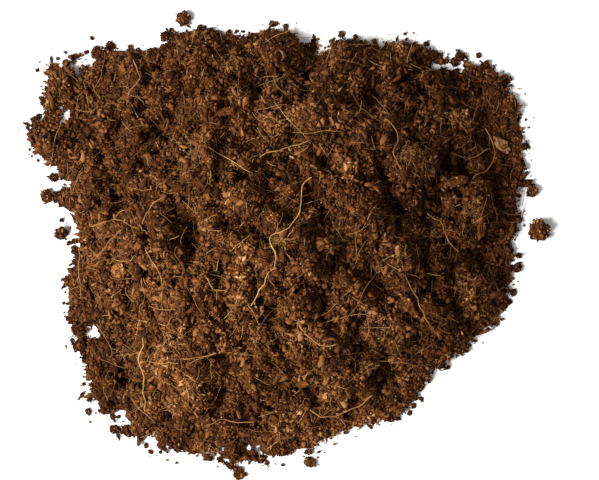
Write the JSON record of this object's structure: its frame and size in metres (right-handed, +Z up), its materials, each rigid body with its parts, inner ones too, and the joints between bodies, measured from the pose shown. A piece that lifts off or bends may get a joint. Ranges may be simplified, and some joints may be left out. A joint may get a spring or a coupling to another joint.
{
  "type": "heap of ground coconut husk",
  "caption": "Low irregular heap of ground coconut husk: crumbly brown pith caked into clods, with loose coir fibres, husk flakes and stray clods, lying flat on a surface.",
  "frame": {"origin": "middle of the bounding box, on the flat surface that the heap lies on", "axes": "+Z up from that surface, +X along the heap's longer side, +Y towards the top of the picture"},
  "size_m": [0.1568, 0.1408, 0.0411],
  "materials": {
    "pith": "matt, crumbly, dark red-brown",
    "fibre": "straw-brown bast fibre with a slight sheen",
    "husk": "matt fibrous orange-brown flake"
  },
  "bodies": {
    "root": {"pith_heap": "pith", "stray_clod_01": "pith", "stray_clod_02": "pith", "stray_clod_03": "pith", "stray_clod_04": "pith", "stray_clod_05": "pith", "stray_clod_06": "pith", "stray_clod_07": "pith", "coir_fibre_01": "fibre", "coir_fibre_02": "fibre", "coir_fibre_03": "fibre", "coir_fibre_04": "fibre", "coir_fibre_05": "fibre", "coir_fibre_06": "fibre", "coir_fibre_07": "fibre", "coir_fibre_08": "fibre", "coir_fibre_09": "fibre", "coir_fibre_10": "fibre", "coir_fibre_11": "fibre", "coir_fibre_12": "fibre", "coir_fibre_13": "fibre", "coir_fibre_14": "fibre", "coir_fibre_15": "fibre", "coir_fibre_16": "fibre", "coir_fibre_17": "fibre", "coir_fibre_18": "fibre", "husk_flake_01": "husk", "husk_flake_02": "husk", "husk_flake_03": "husk", "husk_flake_04": "husk", "husk_flake_05": "husk", "husk_flake_06": "husk", "husk_flake_07": "husk", "husk_flake_08": "husk"}
  },
  "joints": []
}
